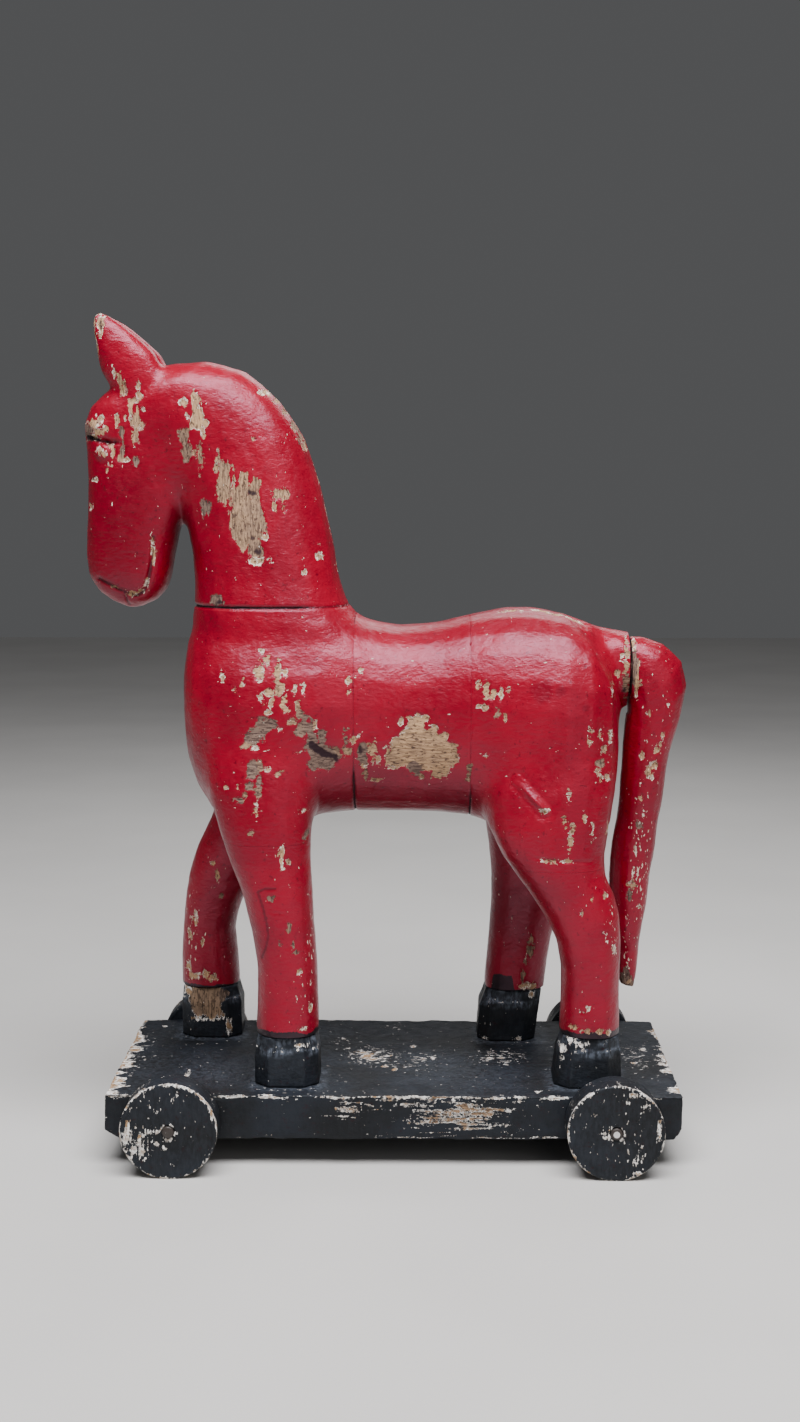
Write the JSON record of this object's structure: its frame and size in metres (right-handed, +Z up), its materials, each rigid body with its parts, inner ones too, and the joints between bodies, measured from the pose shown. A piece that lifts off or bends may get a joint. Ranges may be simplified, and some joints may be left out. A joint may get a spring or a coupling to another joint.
{
  "type": "wheeled toy horse",
  "caption": "Carved and painted wooden toy horse standing on a flat wooden board that rolls on wooden disc wheels.",
  "frame": {"origin": "on the ground under the middle of the toy's bounding box", "axes": "+Z up, the horse faces -X, its left side is -Y and the wheel axles lie along Y"},
  "size_m": [0.289, 0.1588, 0.3968],
  "materials": {
    "red_paint": "brushed gloss red paint on carved wood, chipped to bare wood",
    "black_paint": "satin blue-black paint on wood, worn along the edges",
    "wheel_paint": "satin black paint on wood, rubbed to the primer at the rims",
    "bare_wood": "plain turned wood",
    "nail_steel": "dull worn steel"
  },
  "bodies": {
    "horse_and_board": {"neck_head": "red_paint", "ear_left": "red_paint", "ear_right": "red_paint", "chest_block": "red_paint", "barrel_block": "red_paint", "rump_block": "red_paint", "tail": "red_paint", "leg_front_left": "red_paint", "leg_front_right": "red_paint", "leg_rear_left": "red_paint", "leg_rear_right": "red_paint", "base_board": "black_paint", "hoof_front_left": "black_paint", "hoof_front_right": "black_paint", "hoof_rear_left": "black_paint", "hoof_rear_right": "black_paint", "neck_dowel": "bare_wood", "tail_dowel": "bare_wood", "body_dowel_front_upper": "bare_wood", "body_dowel_front_lower": "bare_wood", "body_dowel_rear_upper": "bare_wood", "body_dowel_rear_lower": "bare_wood", "leg_dowel_front_left": "bare_wood", "leg_dowel_front_right": "bare_wood", "leg_dowel_rear_left": "bare_wood", "leg_dowel_rear_right": "bare_wood", "axle_nail_front_left": "nail_steel", "axle_nail_front_right": "nail_steel", "axle_nail_rear_left": "nail_steel", "axle_nail_rear_right": "nail_steel", "hoof_screw_front_left": "nail_steel", "hoof_screw_front_right": "nail_steel", "hoof_screw_rear_left": "nail_steel", "hoof_screw_rear_right": "nail_steel"},
    "front_left_wheel": {"wheel_front_left": "wheel_paint"},
    "front_right_wheel": {"wheel_front_right": "wheel_paint"},
    "rear_left_wheel": {"wheel_rear_left": "wheel_paint"},
    "rear_right_wheel": {"wheel_rear_right": "wheel_paint"}
  },
  "joints": [
    {"name": "front_left_wheel_turn", "type": "hinge", "parent": "horse_and_board", "child": "front_left_wheel", "pos_m": [-0.09962, -0.0705, 0.02241], "axis": [0, 1, 0], "continuous": true},
    {"name": "front_right_wheel_turn", "type": "hinge", "parent": "horse_and_board", "child": "front_right_wheel", "pos_m": [-0.09962, 0.0705, 0.02241], "axis": [0, 1, 0], "continuous": true},
    {"name": "rear_left_wheel_turn", "type": "hinge", "parent": "horse_and_board", "child": "rear_left_wheel", "pos_m": [0.10568, -0.0705, 0.02241], "axis": [0, 1, 0], "continuous": true},
    {"name": "rear_right_wheel_turn", "type": "hinge", "parent": "horse_and_board", "child": "rear_right_wheel", "pos_m": [0.10568, 0.0705, 0.02241], "axis": [0, 1, 0], "continuous": true}
  ]
}
